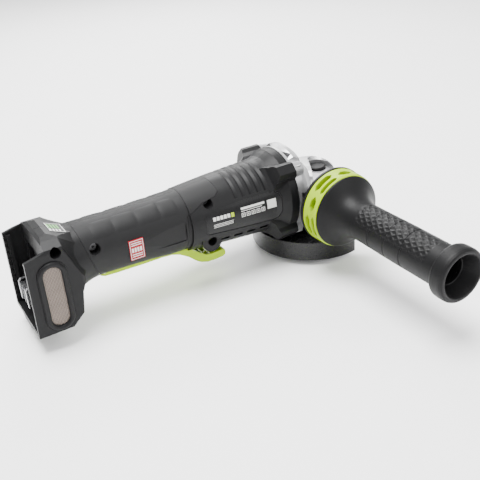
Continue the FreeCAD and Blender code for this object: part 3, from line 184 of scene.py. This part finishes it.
NODE_MATERIALS = {
    "cast": ["gear_housing", "bearing_cover"],
    "steel": ["bearing_cover_screws", "spindle", "crown_gear", "gear_retaining_ring", "spindle_bearing",
              "inner_flange", "outer_flange_nut", "pinion", "lock_pin", "lock_spring", "guard_clamp_screw",
              "rotor_shaft", "rotor_core", "stator_core", "front_bearing", "rear_bearing", "paddle_pin",
              "paddle_spring", "lock_off_pin", "battery_terminals", "handle_stud"],
    "dark_steel": ["gear_housing_screws", "housing_screws"],
    "brass": ["upper_bush", "stator_coils"],
    "guard": ["guard_shell", "guard_band"],
    "shell": ["lock_button", "fan", "fan_baffle", "housing_right", "housing_left", "dust_filter_right",
              "dust_filter_left", "lock_off_tab", "switch_body", "switch_plunger", "controller_tray",
              "terminal_block", "handle_core"],
    "rubber": ["rear_bearing_boot", "grip_sleeve_right", "grip_sleeve_left"],
    "handle": ["handle_grip", "handle_end_knob"],
    "lime": ["paddle_lever", "damper_ring"],
    "panel": ["rating_label", "neck_sticker"],
    "red": ["grip_badge"],
    "mesh_back": ["filter_mesh_right", "filter_mesh_left"],
    "board": ["controller_board"],
    "lead": ["battery_leads", "motor_leads"],
}


def paint(thing, key):
    thing.data.materials.clear()
    thing.data.materials.append(MATERIALS[key])


for key, names in NODE_MATERIALS.items():
    for name in names:
        paint(nodes[name], key)


# ------------------------------------------------------------------ pieces

def new_piece(name, mesh, body, key):
    thing = bpy.data.objects.new(name, mesh)
    bpy.context.scene.collection.objects.link(thing)
    paint(thing, key)
    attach(thing, body)
    return thing


def smooth(thing, angle=35):
    thing.data.shade_smooth()
    thing.data.set_sharp_from_angle(angle=math.radians(angle))


def skin(name, rows, round_across=True, round_along=False, caps=False):
    """Quads between rows of points in millimetres, closed across, along or capped at both ends."""
    builder = bmesh.new()
    lines = [[builder.verts.new(Vector(point) * MM) for point in row] for row in rows]
    wide = len(rows[0])
    for i in range(len(rows) if round_along else len(rows) - 1):
        here, after = lines[i], lines[(i + 1) % len(rows)]
        for j in range(wide if round_across else wide - 1):
            k = (j + 1) % wide
            builder.faces.new((here[j], here[k], after[k], after[j]))
    if caps:
        builder.faces.new(list(reversed(lines[0])))
        builder.faces.new(lines[-1])
    bmesh.ops.recalc_face_normals(builder, faces=builder.faces)
    mesh = bpy.data.meshes.new(name)
    builder.to_mesh(mesh)
    builder.free()
    return mesh


def joined(name, meshes):
    """One mesh out of several."""
    builder = bmesh.new()
    for mesh in meshes:
        builder.from_mesh(mesh)
        bpy.data.meshes.remove(mesh)
    mesh = bpy.data.meshes.new(name)
    builder.to_mesh(mesh)
    builder.free()
    return mesh


def steps(first, last, longest):
    """Evenly spaced values from first to last, no further apart than longest."""
    count = max(1, math.ceil(abs(last - first) / longest))
    return [first + (last - first) * i / count for i in range(count + 1)]


def between(x, table):
    """Straight interpolation in a table of (x, value, ...), sorted by falling x."""
    for (x0, *low), (x1, *high) in zip(table, table[1:]):
        if x >= x1:
            share = min(1.0, max(0.0, (x0 - x) / (x0 - x1)))
            return [a + (b - a) * share for a, b in zip(low, high)]
    return table[-1][1:]


def soft_step(value, low, high):
    share = min(1.0, max(0.0, (value - low) / (high - low)))
    return share * share * (3 - 2 * share)


# ------------------------------------------------------------------ side handle grip with its raised diamonds

STUD_X, STUD_Z, BELL_Y = -13.3, 48.0, -78.0
GRIP_R = 18.65
BELL_OUTSIDE = [
    (34.7, 0.0), (35.1, 0.3), (35.2, 0.8), (35.1, 1.3), (34.4, 2.1), (32.0, 3.9), (28.6, 6.4), (25.4, 9.6),
    (22.6, 13.4), (20.6, 17.6), (19.2, 22.0), (18.5, 26.0), (18.15, 29.0),
]
TUBE_INSIDE_R = 12.7
BELL_INSIDE = [(31.6, 0.2), (31.0, 2.2), (26.0, 4.8), (20.6, 10.0), (16.4, 17.0), (TUBE_INSIDE_R, 24.0)]
GRIP_START = 29.3
FINE_END = 122.0
GRIP_END = 131.1
GRIP_FACETS = 216
SEAMS = (28.5, 52.0, 73.0, 93.0)
SEAM_DEPTH = 0.8
SEAM_HALF = 0.8
FIELD_MIDDLE = (120.0, 300.0)
FIELD_HALF = 42.0
DIAMOND_PITCH = 4.9
DIAMOND_LEAN = math.radians(36)
DIAMOND_DEPTH = 0.5


def rounded_line(points, parts):
    """Smooth curve through the points."""
    curve = []
    for i in range(len(points) - 1):
        before = Vector(points[max(i - 1, 0)])
        start, end = Vector(points[i]), Vector(points[i + 1])
        after = Vector(points[min(i + 2, len(points) - 1)])
        for j in range(parts):
            t = j / parts
            slope = (end - before) * t
            bend = (2 * before - 5 * start + 4 * end - after) * t * t
            twist = (3 * start - before - 3 * end + after) * t ** 3
            curve.append(0.5 * (2 * start + slope + bend + twist))
    curve.append(Vector(points[-1]))
    return [(p.x, p.y) for p in curve]


def grip_swell(distance):
    return 18.15 + 0.5 * soft_step(distance, 34, 84)


def field_share(degrees, distance):
    """One inside the two diamond fields, nothing outside them."""
    along = soft_step(distance, 31.5, 33.5) * (1 - soft_step(distance, 119.5, 121.5))
    around = 0.0
    for middle in FIELD_MIDDLE:
        away = abs((degrees - middle + 180) % 360 - 180)
        around = max(around, 1 - soft_step(away, FIELD_HALF - 4, FIELD_HALF))
    return along * around


def diamond_sink(degrees, distance):
    """How far the surface lies below the crossing ridges."""
    share = field_share(degrees, distance)
    if share <= 0:
        return 0.0
    arc = math.radians(degrees) * GRIP_R
    nearest = DIAMOND_PITCH
    for hand in (-1, 1):
        across = distance * math.sin(DIAMOND_LEAN) + hand * arc * math.cos(DIAMOND_LEAN)
        nearest = min(nearest, abs((across / DIAMOND_PITCH + 0.5) % 1 - 0.5) * DIAMOND_PITCH)
    return DIAMOND_DEPTH * share * soft_step(nearest, 0.3, 1.5)


def seam_sink(distance):
    return SEAM_DEPTH * sum(max(0.0, 1 - abs(distance - seam) / SEAM_HALF) for seam in SEAMS)


def make_handle_grip():
    outside = rounded_line(BELL_OUTSIDE, 3)
    along = steps(GRIP_START, FINE_END, 0.55) + steps(FINE_END + 1, GRIP_END, 2.0)
    tube = [(None, distance) for distance in along]
    inside = [(TUBE_INSIDE_R, distance) for distance in [GRIP_END] + steps(128, 30, 14)]
    inside += list(reversed(BELL_INSIDE))
    rows = []
    for radius, distance in outside + tube + inside:
        row = []
        for i in range(GRIP_FACETS):
            degrees = 360 * i / GRIP_FACETS
            reach = radius
            if radius is None:
                reach = grip_swell(distance) - diamond_sink(degrees, distance) - seam_sink(distance)
            angle = math.radians(degrees)
            row.append((
                STUD_X + reach * math.cos(angle), BELL_Y - distance, STUD_Z + reach * math.sin(angle),
            ))
        rows.append(row)
    grip = new_piece("handle_grip_moulded", skin("handle_grip_moulded", rows, round_along=True),
                     "side_handle_body", "handle")
    smooth(grip, 50)
    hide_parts("handle_grip")


# ------------------------------------------------------------------ dust filter wires

FILTER_X, FILTER_LOW, FILTER_HIGH, MESH_HALF, MESH_Y = -286.0, 15.5, 56.5, 8.0, -34.45
WIRE_PITCH = 1.25
WIRE_HALF = 0.2
WIRE_THICK_HALF = 0.13
WIRE_WAVE = 0.14


def wire_mesh(name, path, wide, thick):
    """A flat-sided wire along a path, thick being the direction through the cloth."""
    rows = []
    for point in path:
        centre = Vector(point)
        rows.append([
            centre + wide + thick, centre - wide + thick, centre - wide - thick, centre + wide - thick,
        ])
    return skin(name, rows, caps=True)


def make_filter_cloth(side, body):
    """Plain weave that fills the oval window of the frame."""
    y = MESH_Y * side
    wires = []
    thick = Vector((0, WIRE_THICK_HALF, 0))
    count = int(MESH_HALF / WIRE_PITCH)
    for i in range(-count, count + 1):
        x = i * WIRE_PITCH
        reach = math.sqrt(MESH_HALF ** 2 - x ** 2)
        path = [
            (FILTER_X + x, y + WIRE_WAVE * math.cos(math.pi * (z / WIRE_PITCH + i)), z)
            for z in steps(FILTER_LOW - reach, FILTER_HIGH + reach, WIRE_PITCH / 2)
        ]
        wires.append(wire_mesh("warp", path, Vector((WIRE_HALF, 0, 0)), thick))
    first = math.ceil((FILTER_LOW - MESH_HALF) / WIRE_PITCH)
    last = math.floor((FILTER_HIGH + MESH_HALF) / WIRE_PITCH)
    for k in range(first, last + 1):
        z = k * WIRE_PITCH
        past = max(FILTER_LOW - z, z - FILTER_HIGH, 0)
        reach = math.sqrt(max(0.0, MESH_HALF ** 2 - past ** 2))
        if reach < 1:
            continue
        path = [
            (FILTER_X + x, y - WIRE_WAVE * math.cos(math.pi * (x / WIRE_PITCH + k)), z)
            for x in steps(-reach, reach, WIRE_PITCH / 2)
        ]
        wires.append(wire_mesh("weft", path, Vector((0, 0, WIRE_HALF)), thick))
    name = "filter_cloth_right" if side > 0 else "filter_cloth_left"
    new_piece(name, joined(name, wires), body, "mesh")


BEZEL_SECTION = [
    (8.05, -1.6), (8.3, -0.2), (8.9, 0.8), (9.9, 1.25), (11.0, 1.25), (12.0, 0.7), (12.6, -0.3), (12.6, -1.6),
]
BEZEL_FACETS = 96
FRAME_FACE_Y = 35.8


def make_bezel(side, body):
    """Rounded rim moulded round the window of a dust filter."""
    rows = []
    for i in range(BEZEL_FACETS):
        angle = 2 * math.pi * i / BEZEL_FACETS
        across, up = math.cos(angle), math.sin(angle)
        middle = FILTER_HIGH if i < BEZEL_FACETS / 2 else FILTER_LOW
        rows.append([
            (FILTER_X + reach * across, -side * (FRAME_FACE_Y + out), middle + reach * up)
            for reach, out in BEZEL_SECTION
        ])
    name = "filter_bezel_right" if side > 0 else "filter_bezel_left"
    smooth(new_piece(name, skin(name, rows, round_along=True), body, "shell"), 50)


# ------------------------------------------------------------------ battery bay details

FOOT_REAR = -307.5
BLADE_ROWS = (-10.5, 10.5)
LOOP_OUTLINE = [(-291, 38.2), (-303.6, 38.2), (-305.6, 36.2), (-305.6, 19), (-303.6, 17), (-291, 17)]
LOOP_HALF_WIDTH = 1.4
LOOP_HALF_THICK = 0.35
TOOTH_PITCH = 6
TOOTH_HEIGHT = 3.2


def block(low, high, ease=0.3):
    """Small moulded block whose long edges are eased."""
    (x0, y0, z0), (x1, y1, z1) = low, high
    ring = [
        (x0 + ease, z0), (x1 - ease, z0), (x1, z0 + ease), (x1, z1 - ease), (x1 - ease, z1), (x0 + ease, z1),
        (x0, z1 - ease), (x0, z0 + ease),
    ]
    return skin("block", [[(x, y, z) for x, z in ring] for y in (y0, y1)], caps=True)


def contact_loop(y):
    """Bright spring contact bent round one terminal blade."""
    near, far = y - LOOP_HALF_WIDTH, y + LOOP_HALF_WIDTH
    rows = []
    for i, (x, z) in enumerate(LOOP_OUTLINE):
        before = Vector(LOOP_OUTLINE[max(i - 1, 0)])
        after = Vector(LOOP_OUTLINE[min(i + 1, len(LOOP_OUTLINE) - 1)])
        along = (after - before).normalized()
        out = Vector((along.y, -along.x)) * LOOP_HALF_THICK
        rows.append([
            (x + out.x, near, z + out.y), (x + out.x, far, z + out.y),
            (x - out.x, far, z - out.y), (x - out.x, near, z - out.y),
        ])
    return skin("loop", rows, caps=True)


def make_battery_bay():
    """Teeth down both side walls of the bay, and the contacts round two of the blades."""
    teeth = []
    for side in (-1, 1):
        for z in steps(10, 70, TOOTH_PITCH):
            teeth.append(block(
                (FOOT_REAR + 1.2, side * 31.5, z), (FOOT_REAR + 3.6, side * 30.4, z + TOOTH_HEIGHT),
            ))
    new_piece("bay_teeth", joined("bay_teeth", teeth), "tool_body", "shell")
    loops = [contact_loop(y) for y in BLADE_ROWS]
    new_piece("contact_loops", joined("contact_loops", loops), "tool_body", "steel")


# ------------------------------------------------------------------ panel, badge and sticker prints

BARREL = [
    (-51.4, 42.2), (-55.1, 40.6), (-59.6, 38.4), (-64.6, 37.0), (-69.6, 36.5), (-87.6, 35.7), (-111.6, 34.3),
    (-133.6, 32.6), (-151.6, 31.0),
]


def mark_on(surface_point, low, high, lift=0.07):
    """Thin raised patch over a surface given as point(u, v, lift), between two corners."""
    rows = []
    for u in steps(low[0], high[0], 2.5):
        top = [surface_point(u, v, lift) for v in steps(low[1], high[1], 2.0)]
        bottom = [surface_point(u, v, -0.05) for v in steps(low[1], high[1], 2.0)]
        rows.append(top + bottom[::-1])
    return skin("mark", rows, caps=True)


def frame_of(low, high, width):
    """Four bars round a rectangle."""
    (u0, v0), (u1, v1) = low, high
    return [
        ((u0, v0), (u1, v0 + width)), ((u0, v1 - width), (u1, v1)),
        ((u0, v0 + width), (u0 + width, v1 - width)), ((u1 - width, v0 + width), (u1, v1 - width)),
    ]


BARREL_Z = 52
LABEL_SINK = 0.45
BADGE_FACE_Y = 27.5


def on_label(x, z, lift):
    radius = between(x, BARREL)[0] - LABEL_SINK + lift
    return (x, -math.sqrt(radius ** 2 - (z - BARREL_Z) ** 2), z)


def on_badge(x, z, lift):
    return (x, -BADGE_FACE_Y - lift, z)


STICKER_LINE = [(-261, 79.9), (-264, 80.95), (-270, 83.35), (-275, 85.55)]


def on_sticker(x, y, lift):
    return (x, y, between(x, STICKER_LINE)[0] + lift)


def make_marks(name, place_on, boxes, key):
    marks = [mark_on(place_on, low, high) for low, high in boxes]
    new_piece(name, joined(name, marks), "tool_body", key)


def make_prints():
    blocks = [((-131 + 3.6 * i, 56), (-128.2 + 3.6 * i, 59.6)) for i in range(5)]
    lines = [((-131, z), (-111, z + 0.45)) for z in (49.2, 50.6, 52.0)]
    lines += [((-102, 59.6), (-77, 61.6)), ((-102, 57.9), (-80, 58.4)), ((-74, 53), (-64.5, 61.6))]
    icons = []
    for i in range(5):
        corner = (-102 + 5.3 * i, 52.4)
        icons += frame_of(corner, (corner[0] + 3.9, 56.4), 0.5)
        icons.append(((corner[0] + 1.4, 53.8), (corner[0] + 2.5, 55.0)))
    make_marks("panel_marks", on_label, blocks + lines + icons, "print")
    make_marks("panel_lime_mark", on_label, [((-112.6, 55.6), (-109.6, 59.8))], "lime_print")
    rows = [((-211.6, z), (-201.8, z + 0.8)) for z in (44.2, 46.2, 55.2, 57.2)]
    rows += [((-211.6 + 2.6 * i, 48.8), (-209.8 + 2.6 * i, 53)) for i in range(4)]
    make_marks("badge_marks", on_badge, frame_of((-213.1, 41.9), (-200.3, 60.1), 0.5) + rows, "print")
    greens = [((-274 + 2.6 * i, -4.5), (-272.4 + 2.6 * i, 4.5)) for i in range(4)]
    make_marks("sticker_green_marks", on_sticker, greens, "sticker_green")
    whites = frame_of((-274.6, -11.6), (-261.6, 6.6), 0.5)
    whites += [((-274 + 2.6 * i, -10.4), (-272.6 + 2.6 * i, -6)) for i in range(4)]
    make_marks("sticker_marks", on_sticker, whites, "print")


# ------------------------------------------------------------------ finger pads on the soft sleeve

# Rows of x, half width, half height and centre height of the grip.
GRIP = [
    (-146, 30.2, 30.6, 52), (-165, 28.8, 29.2, 52.2), (-185, 27.9, 28.2, 52.6), (-205, 27.2, 27.5, 52.9),
    (-225, 26.7, 27.1, 53), (-243, 26.9, 27.4, 53),
]
PAD_LINES = (-242, -221, -199, -177, -159)


def make_finger_pads(side):
    """Four shallow pillows along the shoulder of the sleeve."""
    pads = []
    for rear, front in zip(PAD_LINES, PAD_LINES[1:]):
        tops, bottoms = [], []
        for x in steps(rear + 0.5, front - 0.5, 1.2):
            half_y, half_z, centre = between(x, GRIP)
            share_x = (x - rear) / (front - rear) * 2 - 1
            top, bottom = [], []
            for degrees in steps(36, 76, 2):
                share_t = (degrees - 56) / 20
                lift = 0.62 * (1 - share_x ** 4) * (1 - share_t ** 4) - 0.12
                angle = math.radians(degrees)
                for row, out in ((top, lift), (bottom, -0.6)):
                    y = -side * (half_y + out) * math.cos(angle)
                    row.append((x, y, centre + (half_z + out) * math.sin(angle)))
            tops.append(top)
            bottoms.append(bottom)
        pads.append(skin("pad", [t + b[::-1] for t, b in zip(tops, bottoms)], caps=True))
    name = "finger_pads_right" if side > 0 else "finger_pads_left"
    smooth(new_piece(name, joined(name, pads), "tool_body", "rubber"), 40)


make_handle_grip()
make_filter_cloth(1, "right_filter_body")
make_filter_cloth(-1, "left_filter_body")
make_bezel(1, "right_filter_body")
make_bezel(-1, "left_filter_body")
make_battery_bay()
make_prints()
make_finger_pads(1)
make_finger_pads(-1)


# ------------------------------------------------------------------ stage, light and camera

def make_floor(height):
    mesh = bpy.data.meshes.new("floor")
    builder = bmesh.new()
    half = 12.0
    signs = ((-1, -1), (1, -1), (1, 1), (-1, 1))
    builder.faces.new([builder.verts.new((half * x, half * y, height)) for x, y in signs])
    builder.to_mesh(mesh)
    builder.free()
    floor = bpy.data.objects.new("floor", mesh)
    bpy.context.scene.collection.objects.link(floor)
    material, tree, shader, place = shader_tree("floor_paper")
    colour = ramp(tree, noise_field(tree, place, 3.0), [(0.3, (0.95, 0.95, 0.95)), (0.7, (0.97, 0.97, 0.97))])
    link(tree, colour, shader.inputs["Base Color"])
    shader.inputs["Roughness"].default_value = 0.9
    shader.inputs["Specular IOR Level"].default_value = 0.1
    floor.data.materials.append(material)


def area_light(name, spot, target, size, power):
    data = bpy.data.lights.new(name, "AREA")
    data.shape = "DISK"
    data.size = size
    data.energy = power
    lamp = bpy.data.objects.new(name, data)
    bpy.context.scene.collection.objects.link(lamp)
    lamp.location = spot
    lamp.rotation_euler = (Vector(target) - Vector(spot)).to_track_quat("-Z", "Y").to_euler()


def make_world():
    world = bpy.data.worlds.new("studio")
    world.use_nodes = True
    world.node_tree.nodes["Background"].inputs["Color"].default_value = (1.0, 1.0, 1.0, 1.0)
    world.node_tree.nodes["Background"].inputs["Strength"].default_value = 1.25
    bpy.context.scene.world = world


def make_camera():
    """Perspective camera above and behind the right side of the tool."""
    data = bpy.data.cameras.new("camera")
    data.sensor_width = 36.0
    data.lens = 54.33
    data.clip_end = 50.0
    camera = bpy.data.objects.new("camera", data)
    bpy.context.scene.collection.objects.link(camera)
    right = Vector((0.85554, -0.51357, -0.06559))
    up = Vector((0.29648, 0.38211, 0.87527))
    back = right.cross(up)
    camera.matrix_world = Matrix.Translation((-0.3987, -0.5642, 0.3598)) @ Matrix((
        (right.x, up.x, back.x, 0), (right.y, up.y, back.y, 0), (right.z, up.z, back.z, 0), (0, 0, 0, 1),
    ))
    bpy.context.scene.camera = camera


make_floor(cad_low.z - 0.0005)
make_world()
area_light("key", (-0.3, 0.1, 1.6), (-0.12, -0.05, 0.04), 1.1, 78)
area_light("fill", (0.5, -1.3, 0.9), (-0.1, -0.05, 0.04), 1.0, 8)
area_light("rim", (0.4, 1.2, 0.9), (-0.1, 0.0, 0.05), 0.8, 24)
make_camera()
